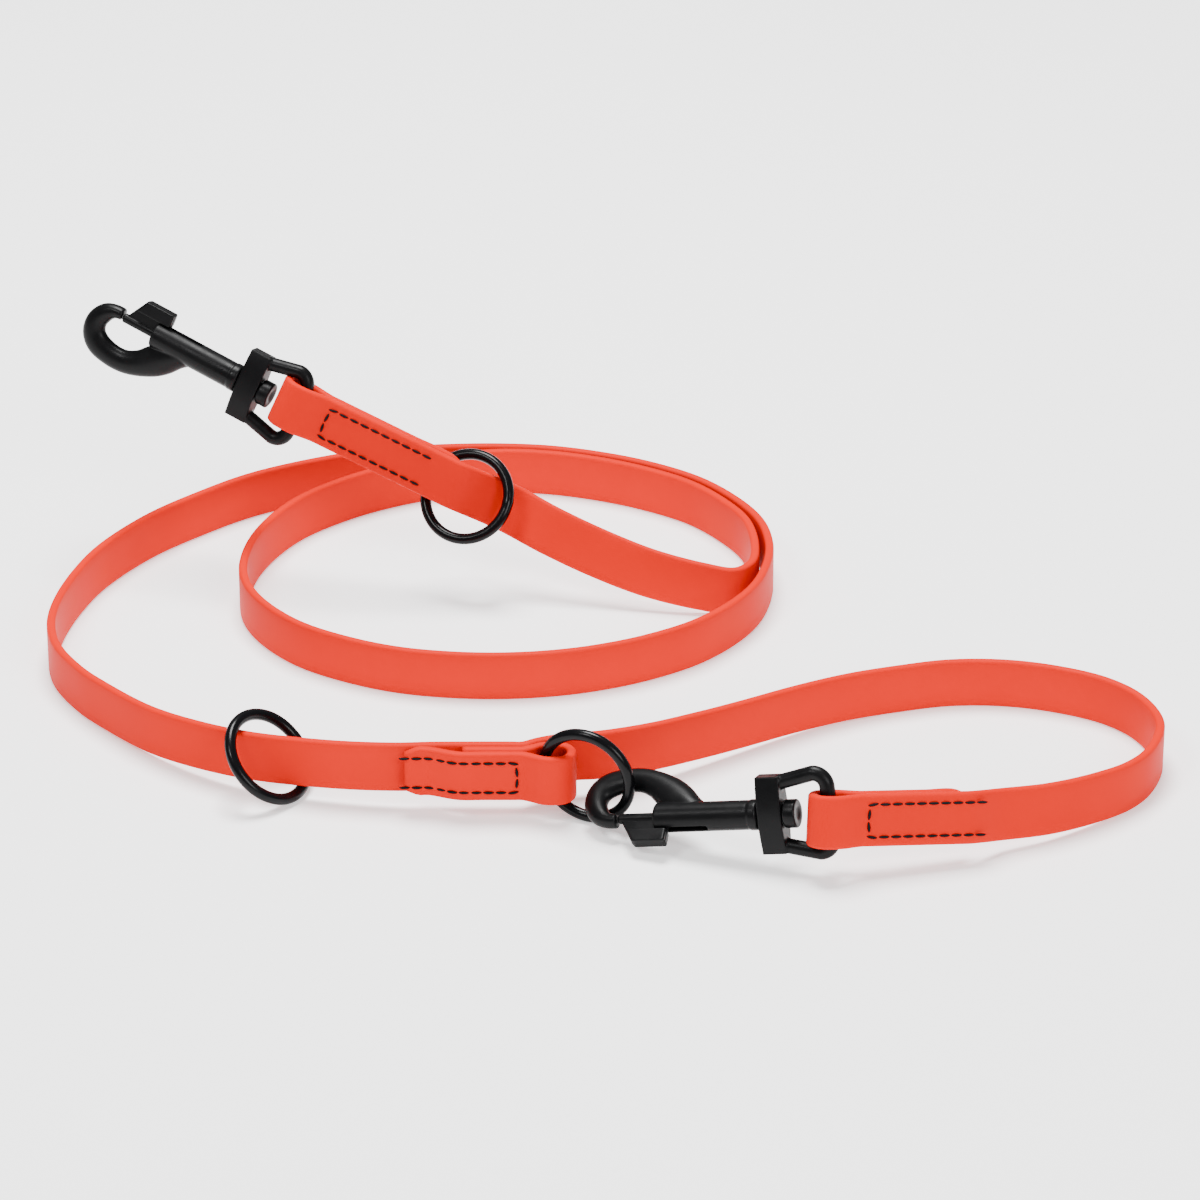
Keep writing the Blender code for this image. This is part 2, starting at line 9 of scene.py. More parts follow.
import bmesh
import bpy
import numpy as np
from mathutils import Matrix, Vector


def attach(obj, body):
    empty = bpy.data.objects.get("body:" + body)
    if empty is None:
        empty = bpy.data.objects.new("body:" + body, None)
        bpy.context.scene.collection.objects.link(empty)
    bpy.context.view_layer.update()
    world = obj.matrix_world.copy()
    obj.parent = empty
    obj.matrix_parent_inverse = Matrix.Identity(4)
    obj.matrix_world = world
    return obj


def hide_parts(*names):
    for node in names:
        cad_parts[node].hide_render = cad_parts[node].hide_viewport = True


MM = 0.001
UP = Vector((0, 0, 1))

# The middle of the laid-out leash, seen from above, from the point that its route is drawn from
MIDDLE = Vector((-2.03, -62.63, -0.03)) * MM

# Strap, its doubled ends and the tab that holds a ring
STRAP_WIDTH = 20 * MM
STRAP_THICKNESS = 3.6 * MM
STRAP_ROUNDING = 1.3 * MM
LAYER_GAP = 0.35 * MM
LAYERS_APART = STRAP_THICKNESS + LAYER_GAP
TIP_TAPER = 0.78
TIP_LENGTH = 5 * MM
SEAM_START = 22.5 * MM
SEAM_LENGTH = 43.5 * MM
SEAM_ROWS_APART = 12.4 * MM
FREE_TAIL = 81 * MM
HANDLE_TAIL = 62 * MM
TAB_FRONT_LEG = 65 * MM
TAB_BACK_LEG = 43 * MM
TAB_STEP_FROM = TAB_BACK_LEG + 1.5 * MM
TAB_STEP_TO = TAB_FRONT_LEG - 9 * MM
EYE_LOOP_GAP = 0.9 * MM
RING_LOOP_GAP = 2.0 * MM
STRAP_STEP = 2 * MM
STRAP_SAMPLES = 24
CORNER_STEPS = 4
FACE_ROWS = 6

# Stitching
STITCH_PITCH = 4.5 * MM
STITCH_LENGTH = 4.2 * MM
STITCH_DIP = 0.6
STITCH_TAPER = 0.35
SEAM_CORNER = 1.2 * MM
SEAM_STEPS = 24
THREAD = 1.15 * MM
THREAD_LIFT = 0.2 * THREAD

# Rings
RING_OUTER = 40 * MM
RING_WIRE = 4.5 * MM
RING_STEPS = 144
RING_SIDES = 28
WELD_SWELL = 0.035
WELD_REACH = 1.1 * MM
WELD_NECK = 0.02
WELD_NECK_AT = 2.4 * MM
WELD_NECK_REACH = 0.8 * MM

# Snap hook, along its own axis from the middle of the eye's bar to the nose
CLEARANCE = 0.3 * MM
EYE_WIRE = 4.6 * MM
EYE_BAR_WIDTH = 36 * MM
EYE_CORNER = 5.2 * MM
EYE_PLATE_WIDTH = 29.5 * MM
EYE_PLATE_FROM = 17.6 * MM
EYE_PLATE_TO = 27 * MM
EYE_PLATE_END = 6 * MM
EYE_BOW = 5.9 * MM
EYE_BOSS = 10.4 * MM
STUD_HEAD = 10.8 * MM
STUD_HEAD_LENGTH = 4.8 * MM
STUD_RIM = 0.7 * MM
STUD_NECK = 6.5 * MM
STUD_GRIP = 6 * MM
COLLAR = 11.7 * MM
COLLAR_LENGTH = 3.6 * MM
GROOVE = 9.8 * MM
BARREL = 11.2 * MM
BARREL_MOUTH = 68.3 * MM
BARREL_EDGE = 0.5 * MM
BORE = 6.6 * MM
BORE_END = 35.4 * MM
SLOT_WIDTH = 2.6 * MM
SLOT_LENGTH = 21 * MM
ROD = 4 * MM
ROD_TIP = 83.3 * MM
PISTON_FROM = BORE_END + 22.9 * MM
PISTON_LENGTH = 8 * MM
BOLT_TRAVEL = 14 * MM
BOLT_STOP = 1.3 * MM
FIN_HEIGHT = 11.4 * MM
FIN_SLANT = 6.6 * MM
FIN_SET_BACK = 0.8 * MM
FIN_PAD_DEPTH = 5 * MM
SPRING_WIRE = 0.7 * MM
SPRING_TURNS = 6
SPRING_STEPS = 28
TURN_STEPS = 64
BOWL_SAMPLES = 8
BOWL_SIDES = 40


def unit(vector):
    return Vector(vector).normalized()


def place(x, y, z):
    """A point of the layout, given in millimetres, in the part's frame."""
    return Vector((x, y, z)) * MM - MIDDLE


def lying(origin, x_axis, y_hint):
    """A frame at origin with its X along x_axis and its Y as near y_hint as that allows."""
    x = unit(x_axis)
    y = unit(Vector(y_hint) - Vector(y_hint).project(x))
    return Matrix.Translation(origin) @ Matrix((x, y, x.cross(y))).transposed().to_4x4()


# Doubled ends: a frame at the fold's outer edge, X towards the tail and Y across the strap
FREE_END = lying(place(-131.7, 24.3, 80.6), (0.897, -0.196, -0.3945), (0.41, 0.115, 0.9035))
HANDLE_END = lying(place(76.5, -228.8, 23.5), (0.968, 0.22, -0.095), (0.0, 0.25, 0.97))
STRAP_BEHIND_TAB = place(-8.8, -175.675, 17.5)
TAB = lying(STRAP_BEHIND_TAB - Vector((0, 1.5 * LAYERS_APART, 0)), (-1, 0, 0), (0, 0, 1))

# The strap's middle line between its two doubled ends: x, y, height of its middle and how far
# its top leans away from the front, in millimetres and degrees
ROUTE = [
    (-37.8, 13, 35.7, 18), (-20, 6, 28.5, 24), (0, 0, 21, 24), (20, -6.4, 15.5, 17),
    (41, -11.5, 12, 8), (54, -12, 10.2, 2), (61.5, -4, 10, 0), (63.6, 12, 10, 0),
    (60.6, 36, 10, 0), (52.5, 53, 10, 0), (38, 72, 10, 0), (18, 86.5, 10, 0),
    (-2, 96, 10, 0), (-22.5, 102, 10, 0), (-43, 103.6, 10, 0), (-64, 99, 10, 0),
    (-86, 90, 10, 0), (-107, 76, 10, 0), (-127, 55, 10, 0), (-141, 25, 10, 0),
    (-145.3, -4.6, 10, 0), (-142.5, -24, 10, 0), (-134, -42, 10, 0), (-119, -60, 10, 0),
    (-98, -74, 10, 0), (-79, -82, 10, 0), (-59, -86, 10, 0), (-40, -87, 10, 0),
    (-20, -85, 10, 0), (-1, -80, 10, 0), (19, -71, 10, 0), (39, -57, 10, 0),
    (55, -38, 10, 0), (64, -20, 10, 0), (69.2, 5, 10, 0), (68.8, 23, 10, 0),
    (65.6, 38, 10, 0), (57.5, 55, 10, 0), (42, 75.5, 10, 0), (20.5, 91.3, 10, 0),
    (-1, 101.2, 10, 0), (-22, 107.2, 10, 0), (-43, 109.2, 10, 0), (-64, 108.6, 10, 0),
    (-85, 106, 10, 0), (-106, 100.5, 10, 0), (-126, 92, 10, 0), (-148, 79, 10, 0),
    (-168, 61, 10, 0), (-187, 40, 10, 0), (-204, 12, 10, 0), (-212, -10, 10, 0),
    (-217.6, -36, 10, 0), (-218.6, -58, 10, 0), (-214.5, -78, 10, 0), (-204, -98, 10, 0),
    (-193, -113, 10.6, 0), (-173, -136, 12, 0), (-153, -152, 13.8, 0), (-133, -163, 15.1, 0),
    (-114, -169, 15.8, 0), (-95, -173.2, 16.4, 0), (-76, -175.4, 17, 0), (-64, -175.5, 17.4, 0),
    (-46, -175.5, 17.5, 0), (-34, -175.5, 17.5, 0), (-29.5, -175.4, 17.4, 0),
    (-24, -172.2, 17.3, 0),
    (-18, -169.6, 17.2, 0), (-10, -167, 17, 0),
    (-1, -165, 16.5, 0), (18, -157, 15.5, 0), (37, -145, 14, 0), (53, -134, 12.8, 0),
    (77, -117.5, 11.5, 0), (97, -106, 10.6, 0), (117, -98, 10, 0), (137, -93, 10, 0),
    (158, -93, 10, 0), (178, -98, 10, 0), (197, -108, 10, 0), (209, -122, 10, 0),
    (214.8, -143, 10, 0), (209, -165, 10, 0), (200, -178, 10.3, 2), (186, -190, 11.5, 5),
    (168, -201, 13, 9), (150, -208.5, 14.8, 12),
]


def smooth_curve(points, samples):
    """Points on a smooth curve through the given ones, whose first three numbers are a place.

    Each stretch between two given points gets the same number of samples.
    """
    points = [np.asarray(p, float) for p in points]
    points = [2 * points[0] - points[1]] + points + [2 * points[-1] - points[-2]]
    curve = []
    for a, b, c, d in zip(points, points[1:], points[2:], points[3:]):
        before, here, after = (math.sqrt(np.linalg.norm((q - p)[:3]))
                               for p, q in ((a, b), (b, c), (c, d)))
        leave = here * ((b - a) / before - (c - a) / (before + here)) + (c - b)
        arrive = here * ((d - c) / after - (d - b) / (here + after)) + (c - b)
        for t in np.arange(samples) / samples:
            curve.append((2 * t**3 - 3 * t**2 + 1) * b + (t**3 - 2 * t**2 + t) * leave
                         + (3 * t**2 - 2 * t**3) * c + (t**3 - t**2) * arrive)
    return curve + [points[-2]]


def station(point, across):
    """A place on a strap's middle line and the strap's width direction there, as six numbers."""
    return np.array([*point, *across])


def upright(along, lean):
    """The strap's width direction on a run along the ground, leaning lean degrees away."""
    along = unit(along)
    width = unit(UP - UP.project(along))
    side = along.cross(width)
    away = side if side.y > 0 else -side
    return width * math.cos(math.radians(lean)) + away * math.sin(math.radians(lean))


def route_stations():
    """The strap between its doubled ends, as places with the width direction there."""
    places = [place(*row[:3]) for row in ROUTE]
    free_tip = FREE_END @ Vector((FREE_TAIL, 0, 0))
    handle_tip = HANDLE_END @ Vector((HANDLE_TAIL, 0, 0))
    around = [free_tip] + places + [handle_tip]
    return [station(here, upright(after - before, row[3]))
            for before, here, after, row in zip(around, around[1:], around[2:], ROUTE)]


def doubled(end, loop, front, back, front_side=1):
    """Both layers of a doubled end, front tip to back tip, round a loop of the given radius.

    front and back are the layers' lengths; front_side is -1 where the frame's Z points back.
    """
    nose = STRAP_THICKNESS / 2
    spread = LAYERS_APART / 2
    flat = SEAM_START - 2 * MM
    half = [(front, spread), (front - 3 * MM, spread), (front * 0.6 + flat * 0.4, spread),
            (flat + 3 * MM, spread), (flat, spread), (flat * 0.8, spread + (loop - spread) * 0.45),
            (flat * 0.6, spread + (loop - spread) * 0.93), (nose + loop, loop)]
    turn = [(nose + loop - loop * math.sin(a), loop * math.cos(a))
            for a in (math.pi * i / 6 for i in range(1, 6))]
    other = [(x, -y) for x, y in half[:2:-1]]
    other += [(back * 0.6 + flat * 0.4, -spread), (back, -spread)]
    across = end.to_3x3() @ Vector((0, 1, 0))
    return [station(end @ Vector((x, 0, front_side * y)), across) for x, y in half + turn + other]


def tapered(stations):
    """The same stations with the last one, a strap's tip, narrowed and one more just before it."""
    tip, before = stations[-1], stations[-2]
    share = TIP_LENGTH / np.linalg.norm((tip - before)[:3])
    shoulder = tip + (before - tip) * share
    narrow = tip.copy()
    narrow[3:] *= TIP_TAPER
    return stations[:-1] + [shoulder, narrow]


# ---------------------------------------------------------------- meshes

def new_mesh(name, work, material):
    """A mesh object at the origin from a bmesh, shaded smooth, with its normals outwards."""
    bmesh.ops.recalc_face_normals(work, faces=work.faces)
    mesh = bpy.data.meshes.new(name)
    work.to_mesh(mesh)
    work.free()
    return new_object(name, mesh, material)


def new_object(name, mesh, material):
    """A piece of the model at the origin, shaded smooth, in one material."""
    mesh.shade_smooth()
    mesh.materials.clear()
    mesh.materials.append(material)
    made = bpy.data.objects.new(name, mesh)
    bpy.context.scene.collection.objects.link(made)
    return made


def evaluated(made, merged=True):
    """The object's mesh as its modifiers leave it; the object goes."""
    bpy.context.view_layer.update()
    graph = bpy.context.evaluated_depsgraph_get()
    mesh = bpy.data.meshes.new_from_object(made.evaluated_get(graph))
    bpy.data.objects.remove(made)
    if merged:
        work = bmesh.new()
        work.from_mesh(mesh)
        bmesh.ops.remove_doubles(work, verts=work.verts, dist=0.01 * MM)
        bmesh.ops.recalc_face_normals(work, faces=work.faces)
        work.to_mesh(mesh)
        work.free()
    return mesh


def scratch(name, data):
    """An object that only helps to make a piece, or a light or camera."""
    made = bpy.data.objects.new(name, data)
    bpy.context.scene.collection.objects.link(made)
    return made


# ---------------------------------------------------------------- shader groups and materials

def group_tree(name, inputs, outputs):
    """A shader node group with named sockets, and its two end nodes."""
    tree = bpy.data.node_groups.new(name, "ShaderNodeTree")
    for label, kind, value in inputs:
        socket = tree.interface.new_socket(label, in_out="INPUT", socket_type=kind)
        socket.default_value = value
    for label, kind in outputs:
        tree.interface.new_socket(label, in_out="OUTPUT", socket_type=kind)
    return tree, tree.nodes.new("NodeGroupInput"), tree.nodes.new("NodeGroupOutput")


def maths(tree, operation, first, second=None):
    """A Math node's result; first and second are sockets or numbers."""
    node = tree.nodes.new("ShaderNodeMath")
    node.operation = operation
    for socket, value in zip(node.inputs, (first, second)):
        if hasattr(value, "links"):
            tree.links.new(value, socket)
        elif value is not None:
            socket.default_value = value
    return node.outputs[0]


def object_coordinates(tree):
    return tree.nodes.new("ShaderNodeTexCoord").outputs["Object"]


def noise(tree, coordinates, scale, detail=3.0, roughness=0.55):
    node = tree.nodes.new("ShaderNodeTexNoise")
    tree.links.new(coordinates, node.inputs["Vector"])
    for label, value in (("Scale", scale), ("Detail", detail), ("Roughness", roughness)):
        if hasattr(value, "links"):
            tree.links.new(value, node.inputs[label])
        else:
            node.inputs[label].default_value = value
    return node.outputs["Fac"]


def cast_grain_group():
    """The fine orange peel and handling marks of a coated casting."""
    tree, given, result = group_tree(
        "cast_grain",
        [("Grain Scale", "NodeSocketFloat", 1500.0), ("Smudge Scale", "NodeSocketFloat", 90.0),
         ("Low Roughness", "NodeSocketFloat", 0.3), ("High Roughness", "NodeSocketFloat", 0.45)],
        [("Height", "NodeSocketFloat"), ("Roughness", "NodeSocketFloat"),
         ("Rub", "NodeSocketFloat")])
    coordinates = object_coordinates(tree)
    grain = noise(tree, coordinates, given.outputs["Grain Scale"], 4.0)
    smudge = noise(tree, coordinates, given.outputs["Smudge Scale"], 5.0, 0.65)
    spread = tree.nodes.new("ShaderNodeMapRange")
    spread.inputs["From Min"].default_value = 0.35
    spread.inputs["From Max"].default_value = 0.65
    tree.links.new(smudge, spread.inputs["Value"])
    tree.links.new(given.outputs["Low Roughness"], spread.inputs["To Min"])
    tree.links.new(given.outputs["High Roughness"], spread.inputs["To Max"])
    rub = maths(tree, "GREATER_THAN", noise(tree, coordinates, 420.0, 6.0, 0.75), 0.7)
    tree.links.new(grain, result.inputs["Height"])
    tree.links.new(spread.outputs["Result"], result.inputs["Roughness"])
    tree.links.new(rub, result.inputs["Rub"])
    return tree


def new_material(name):
    """A material with its node tree and its Principled BSDF."""
    made = bpy.data.materials.new(name)
    made.use_nodes = True
    return made, made.node_tree, made.node_tree.nodes["Principled BSDF"]


def colour_mix(tree, factor, first, second):
    node = tree.nodes.new("ShaderNodeMix")
    node.data_type = "RGBA"
    tree.links.new(factor, node.inputs["Factor"])
    node.inputs["A"].default_value = (*first, 1)
    node.inputs["B"].default_value = (*second, 1)
    return node.outputs["Result"]


def bump(tree, shader, height, distance, strength=1.0):
    node = tree.nodes.new("ShaderNodeBump")
    node.inputs["Distance"].default_value = distance
    node.inputs["Strength"].default_value = strength
    tree.links.new(height, node.inputs["Height"])
    tree.links.new(node.outputs["Normal"], shader.inputs["Normal"])


def coated_metal(name, colour, low, high, grain_depth, coat):
    """Black coating over metal, with fine grain and uneven gloss."""
    made, tree, shader = new_material(name)
    grain = tree.nodes.new("ShaderNodeGroup")
    grain.node_tree = CAST_GRAIN
    grain.inputs["Low Roughness"].default_value = low
    grain.inputs["High Roughness"].default_value = high
    shader.inputs["Coat Weight"].default_value = coat
    shader.inputs["Coat Roughness"].default_value = 0.18
    shader.inputs["Specular IOR Level"].default_value = 0.1
    tint = colour_mix(tree, grain.outputs["Rub"], colour, tuple(3.2 * c for c in colour))
    tree.links.new(tint, shader.inputs["Base Color"])
    tree.links.new(grain.outputs["Roughness"], shader.inputs["Roughness"])
    bump(tree, shader, grain.outputs["Height"], grain_depth)
    return made


def coated_webbing():
    """Orange-red coating over webbing: satin, with the faint ribs of the weave under it."""
    made, tree, shader = new_material("coated_webbing")
    uv = tree.nodes.new("ShaderNodeUVMap")
    uv.uv_map = "strap"
    coordinates = object_coordinates(tree)
    split = tree.nodes.new("ShaderNodeSeparateXYZ")
    tree.links.new(uv.outputs["UV"], split.inputs["Vector"])
    across = maths(tree, "SINE",
                   maths(tree, "MULTIPLY", split.outputs["Y"], math.tau / (0.85 * MM)))
    along = maths(tree, "SINE", maths(tree, "MULTIPLY", split.outputs["X"], math.tau / (1.3 * MM)))
    weave = maths(tree, "MULTIPLY", across, along)
    grain = noise(tree, coordinates, 1900.0, 5.0, 0.6)
    broad = noise(tree, coordinates, 38.0, 4.0)
    height = maths(tree, "ADD", maths(tree, "MULTIPLY", weave, 0.12), grain)
    tint = colour_mix(tree, broad, (0.57, 0.007, 0.0006), (0.63, 0.009, 0.0009))
    tree.links.new(tint, shader.inputs["Base Color"])
    gloss = maths(tree, "ADD", maths(tree, "MULTIPLY", grain, 0.16), 0.4)
    tree.links.new(gloss, shader.inputs["Roughness"])
    shader.inputs["Specular IOR Level"].default_value = 0.03
    bump(tree, shader, height, 0.05 * MM, 0.55)
    return made


def twisted_thread():
    """Waxed black thread with the slanting lines of its twist."""
    made, tree, shader = new_material("twisted_thread")
    wave = tree.nodes.new("ShaderNodeTexWave")
    wave.bands_direction = "DIAGONAL"
    wave.inputs["Scale"].default_value = 900.0
    wave.inputs["Distortion"].default_value = 1.5
    tree.links.new(object_coordinates(tree), wave.inputs["Vector"])
    tint = colour_mix(tree, wave.outputs["Fac"], (0.002, 0.002, 0.003), (0.009, 0.009, 0.010))
    tree.links.new(tint, shader.inputs["Base Color"])
    shader.inputs["Roughness"].default_value = 0.75
    shader.inputs["Specular IOR Level"].default_value = 0.08
    bump(tree, shader, wave.outputs["Fac"], 0.06 * MM, 0.8)
    return made


def bare_steel(name, colour, low, high):
    """Bright metal with fine drawn lines."""
    made, tree, shader = new_material(name)
    fine = noise(tree, object_coordinates(tree), 800.0, 6.0, 0.7)
    gloss = maths(tree, "ADD", maths(tree, "MULTIPLY", fine, high - low), low)
    tree.links.new(colour_mix(tree, fine, colour, tuple(0.8 * c for c in colour)),
                   shader.inputs["Base Color"])
    tree.links.new(gloss, shader.inputs["Roughness"])
    shader.inputs["Metallic"].default_value = 1.0
    bump(tree, shader, fine, 0.01 * MM)
    return made


# ---------------------------------------------------------------- strap and tab

def rounded_section():
    """The strap's outline round its middle: (thickness way, width way) points."""
    half_depth = STRAP_THICKNESS / 2 - STRAP_ROUNDING
    half_width = STRAP_WIDTH / 2 - STRAP_ROUNDING
    section = []
    for turn in range(4):
        side = 1 if turn in (0, 3) else -1
        end = 1 if turn in (0, 1) else -1
        for step in range(CORNER_STEPS + 1):
            angle = math.pi / 2 * (turn + step / CORNER_STEPS)
            section.append((side * half_depth + STRAP_ROUNDING * math.cos(angle),
                            end * half_width + STRAP_ROUNDING * math.sin(angle)))
        if turn in (1, 3):
            section += [(side * STRAP_THICKNESS / 2, end * half_width * (1 - 2 * i / FACE_ROWS))
                        for i in range(1, FACE_ROWS)]
    return section


def evenly(curve, step):
    """Points a step apart along a curve's own points, and how far along it each lies."""
    curve = np.array(curve)
    reach = np.concatenate([[0], np.cumsum(np.linalg.norm(np.diff(curve[:, :3], axis=0), axis=1))])
    count = max(2, round(reach[-1] / step))
    at = np.linspace(0, reach[-1], count + 1)
    return np.column_stack([np.interp(at, reach, curve[:, i]) for i in range(curve.shape[1])]), at


def band(name, stations, material):
    """A closed strap along the stations, with rounded edges and a map that follows it.

    Gives the strap, the points of its middle line and that line's length.
    """
    curve, reach = evenly(smooth_curve(stations, STRAP_SAMPLES), STRAP_STEP)
    section = rounded_section()
    work = bmesh.new()
    layer = work.loops.layers.uv.new("strap")
    rings = []
    for index, row in enumerate(curve):
        middle, across = Vector(row[:3]), Vector(row[3:])
        before, after = curve[max(index - 1, 0)][:3], curve[min(index + 1, len(curve) - 1)][:3]
        way = unit(after - before)
        share = across.length
        across = unit(across - across.project(way))
        out = way.cross(across)
        rings.append([work.verts.new(middle + out * a + across * b * share) for a, b in section])
    around = len(section)
    for i, (ring, following) in enumerate(zip(rings, rings[1:])):
        for j in range(around):
            face = work.faces.new((ring[j - 1], ring[j], following[j], following[j - 1]))
            spots = ((reach[i], section[j - 1][1]), (reach[i], section[j][1]),
                     (reach[i + 1], section[j][1]), (reach[i + 1], section[j - 1][1]))
            for loop, spot in zip(face.loops, spots):
                loop[layer].uv = spot
    for ring in (rings[0], rings[-1]):
        work.faces.new(ring)
    made = new_mesh(name, work, material)
    return made, [Vector(row[:3]) for row in curve], reach[-1]


def build_strap(material):
    """The main strap from one doubled end to the other."""
    loop = EYE_WIRE / 2 + STRAP_THICKNESS / 2 + EYE_LOOP_GAP
    free = doubled(FREE_END, loop, FREE_TAIL, FREE_TAIL)
    handle = doubled(HANDLE_END, loop, HANDLE_TAIL, HANDLE_TAIL)
    stations = tapered(free)[::-1] + route_stations() + tapered(handle)
    strap, path, length = band("strap", stations, material)
    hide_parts("main_strap")
    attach(strap, "strap")


def build_tab(material):
    """The ring's tab: a back leg on the main strap, a longer front leg that steps down to it."""
    spread = LAYERS_APART / 2
    loop = RING_WIRE / 2 + STRAP_THICKNESS / 2 + RING_LOOP_GAP
    legs = doubled(TAB, loop, TAB_FRONT_LEG, TAB_BACK_LEG, -1)
    front = [station(TAB @ Vector((x, 0, z)), TAB.to_3x3() @ Vector((0, 1, 0)))
             for x, z in ((TAB_FRONT_LEG, spread), (TAB_STEP_TO, spread),
                          (TAB_STEP_FROM, -spread), (TAB_BACK_LEG - 8 * MM, -spread))]
    tab, _, _ = band("tab", tapered(front[::-1])[::-1] + legs[3:], material)
    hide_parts("ring_tab")
    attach(tab, "strap")


# ---------------------------------------------------------------- stitching

def stitch_shape():
    """One stitch: a short thread, fat in the middle, its ends going down into the strap."""
    bpy.ops.mesh.primitive_uv_sphere_add(segments=10, ring_count=8, radius=0.5)
    made = bpy.context.active_object
    made.name = "stitch_shape"
    for corner in made.data.vertices:
        x, y, z = corner.co.z * 2, corner.co.y * 2, corner.co.x * 2
        dip = STITCH_DIP * x**6
        fat = 1 - STITCH_TAPER * x**4
        corner.co = (x * STITCH_LENGTH / 2, y * fat * THREAD / 2, (z * fat - dip) * THREAD / 2)
    return made


def stitch_tree():
    """Geometry Nodes: stitches at an even pitch along a curve, facing one way."""
    tree = bpy.data.node_groups.new("stitch_row", "GeometryNodeTree")
    for label, kind in (("Geometry", "NodeSocketGeometry"), ("Pitch", "NodeSocketFloat"),
                        ("Facing", "NodeSocketVector"), ("Stitch", "NodeSocketObject"),
                        ("Thread", "NodeSocketMaterial")):
        tree.interface.new_socket(label, in_out="INPUT", socket_type=kind)
    tree.interface.new_socket("Geometry", in_out="OUTPUT", socket_type="NodeSocketGeometry")
    add, link = tree.nodes.new, tree.links.new
    given, result = add("NodeGroupInput"), add("NodeGroupOutput")
    points = add("GeometryNodeCurveToPoints")
    points.mode = "LENGTH"
    link(given.outputs["Geometry"], points.inputs["Curve"])
    link(given.outputs["Pitch"], points.inputs["Length"])
    aim = add("FunctionNodeAlignRotationToVector")
    aim.axis = "X"
    link(points.outputs["Tangent"], aim.inputs["Vector"])
    face = add("FunctionNodeAlignRotationToVector")
    face.axis = "Z"
    face.pivot_axis = "X"
    link(aim.outputs["Rotation"], face.inputs["Rotation"])
    link(given.outputs["Facing"], face.inputs["Vector"])
    shape = add("GeometryNodeObjectInfo")
    link(given.outputs["Stitch"], shape.inputs["Object"])
    copies = add("GeometryNodeInstanceOnPoints")
    link(points.outputs["Points"], copies.inputs["Points"])
    link(shape.outputs["Geometry"], copies.inputs["Instance"])
    link(face.outputs["Rotation"], copies.inputs["Rotation"])
    real = add("GeometryNodeRealizeInstances")
    link(copies.outputs["Instances"], real.inputs["Geometry"])
    dye = add("GeometryNodeSetMaterial")
    link(real.outputs["Geometry"], dye.inputs["Geometry"])
    link(given.outputs["Thread"], dye.inputs["Material"])
    link(dye.outputs["Geometry"], result.inputs["Geometry"])
    return tree


def set_input(modifier, label, value):
    """Gives a Geometry Nodes modifier the value of one named input."""
    for item in modifier.node_group.interface.items_tree:
        if item.item_type == "SOCKET" and item.in_out == "INPUT" and item.name == label:
            modifier[item.identifier] = value


def stitch_row(name, node, end, height, length, outward, stitch, tree, material):
    """The stitches of one side of a seam, in a U whose closed side lies by the fold."""
    row, cut = SEAM_ROWS_APART / 2, 0.3 * SEAM_CORNER
    reach = [SEAM_START + SEAM_CORNER + (length - SEAM_CORNER) * i / SEAM_STEPS
             for i in range(SEAM_STEPS + 1)]
    side = [(x, row) for x in reach[::-1]] + [(SEAM_START + cut, row - cut),
                                              (SEAM_START, row - SEAM_CORNER)]
    path = [end @ Vector((x, y, height(x))) for x, y in side + [(x, -y) for x, y in side[::-1]]]
    curve = bpy.data.curves.new(name, "CURVE")
    curve.dimensions = "3D"
    spline = curve.splines.new("POLY")
    spline.points.add(len(path) - 1)
    for spot, point in zip(spline.points, path):
        spot.co = (*point, 1)
    guide = scratch(name + "_guide", curve)
    rows = guide.modifiers.new("stitches", "NODES")
    rows.node_group = tree
    set_input(rows, "Pitch", STITCH_PITCH)
    set_input(rows, "Facing", tuple(end.to_3x3() @ Vector((0, 0, outward))))
    set_input(rows, "Stitch", stitch)
    set_input(rows, "Thread", material)
    made = new_object(name, evaluated(guide), material)
    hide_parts(node)
    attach(made, "strap")


def step_between(x, low_x, high_x, low, high):
    """A smooth step from low to high as x goes from low_x to high_x."""
    share = min(max((x - low_x) / (high_x - low_x), 0), 1)
    return low + (high - low) * (3 * share**2 - 2 * share**3)


def build_seams(material):
    """The seams of both doubled ends and of the tab, each with its front and its back."""
    stitch, tree = stitch_shape(), stitch_tree()
    face = LAYERS_APART / 2 + STRAP_THICKNESS / 2 + THREAD_LIFT
    tab_reach = TAB_FRONT_LEG - SEAM_START

    def tab_face(x):
        return step_between(x, TAB_STEP_FROM, TAB_STEP_TO, -face, LAYERS_APART - face)

    for name, end, height, length, outward in (
            ("free_end_seam_front", FREE_END, lambda x: face, SEAM_LENGTH, 1),
            ("free_end_seam_back", FREE_END, lambda x: -face, SEAM_LENGTH, -1),
            ("handle_end_seam_front", HANDLE_END, lambda x: face, SEAM_LENGTH, 1),
            ("handle_end_seam_back", HANDLE_END, lambda x: -face, HANDLE_TAIL - SEAM_START, -1),
            ("ring_tab_seam_front", TAB, tab_face, tab_reach, -1),
            ("ring_tab_seam_back", TAB, lambda x: LAYERS_APART + face, tab_reach, 1)):
        stitch_row(name.replace("seam", "stitches"), name, end, height, length, outward,
                   stitch, tree, material)
    bpy.data.objects.remove(stitch)


# ---------------------------------------------------------------- rings

def node_points(name):
    """The corners of a node's solid, as rows of x, y and z."""
    mesh = frame["nodes"][name].data
    points = np.empty(len(mesh.vertices) * 3)
    mesh.vertices.foreach_get("co", points)
    return points.reshape(-1, 3)


def ring_frame(name):
    """Where a ring's solid lies: its middle and the way its hole faces."""
    points = np.unique(node_points(name).round(6), axis=0)
    middle = points.mean(0)
    spread = np.linalg.eigh(np.cov((points - middle).T))[1]
    faces = Vector(spread[:, 0])
    return Matrix.Translation(Vector(middle)) @ faces.to_track_quat("Z", "Y").to_matrix().to_4x4()


